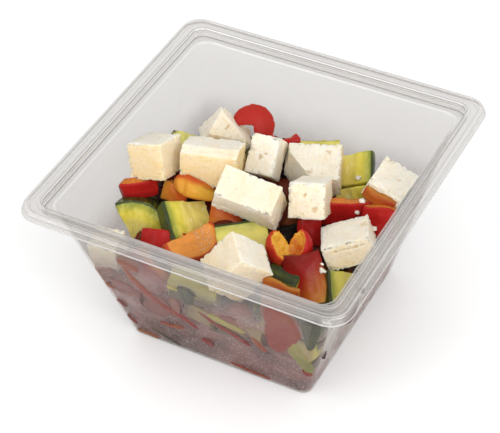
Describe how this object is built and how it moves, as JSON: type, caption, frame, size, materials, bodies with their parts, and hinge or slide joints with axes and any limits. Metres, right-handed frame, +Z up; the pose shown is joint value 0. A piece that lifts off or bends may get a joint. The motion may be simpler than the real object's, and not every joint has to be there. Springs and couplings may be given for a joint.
{
  "type": "shopska salad in a square clear tub",
  "caption": "Shopska salad in an open, tapered, square clear plastic tub: white cheese cubes over chopped cucumber, pepper and tomato.",
  "frame": {"origin": "middle of the tub's base, on the surface it stands on", "axes": "+Z up out of the mouth, -Y towards the front wall, +X towards the right wall"},
  "size_m": [0.1376, 0.1376, 0.08],
  "materials": {
    "tub": "clear formed plastic, glossy, a little hazy inside",
    "cheese": "white brined cheese, crumbly, satin",
    "pepper": "wet red skin, orange flesh where cut",
    "orange_pepper": "wet orange and yellow skin",
    "tomato": "wet red skin, orange glistening flesh",
    "cucumber": "wet pale green flesh, dark green skin",
    "salad": "chopped vegetables packed together, wet"
  },
  "bodies": {
    "root": {"tub": "tub", "cheese_far_left": "cheese", "cheese_left_long": "cheese", "cheese_back_peak": "cheese", "cheese_back_middle": "cheese", "cheese_back_right": "cheese", "cheese_middle": "cheese", "cheese_middle_right": "cheese", "cheese_right_back": "cheese", "cheese_right_front": "cheese", "cheese_front": "cheese", "cheese_front_left": "cheese", "pepper_left": "pepper", "pepper_left_small": "pepper", "pepper_orange": "orange_pepper", "pepper_left_front": "pepper", "pepper_curl_front": "pepper", "pepper_right": "pepper", "pepper_right_back": "pepper", "pepper_right_low": "pepper", "pepper_middle_right": "pepper", "pepper_front_strip": "pepper", "pepper_middle": "pepper", "pepper_back_strip": "pepper", "pepper_front_left": "pepper", "pepper_lobes": "pepper", "tomato_front_left": "tomato", "tomato_back": "tomato", "cucumber_left": "cucumber", "cucumber_left_pale": "cucumber", "cucumber_front_pale": "cucumber", "cucumber_back_right": "cucumber", "cucumber_back_right_low": "cucumber", "cucumber_back": "cucumber", "cucumber_back_left": "cucumber", "cucumber_right_front": "cucumber", "cucumber_front_skin": "cucumber", "cucumber_front_wall": "cucumber", "cucumber_front_low": "cucumber", "cucumber_front_corner": "cucumber", "salad_heap": "salad"}
  },
  "joints": []
}
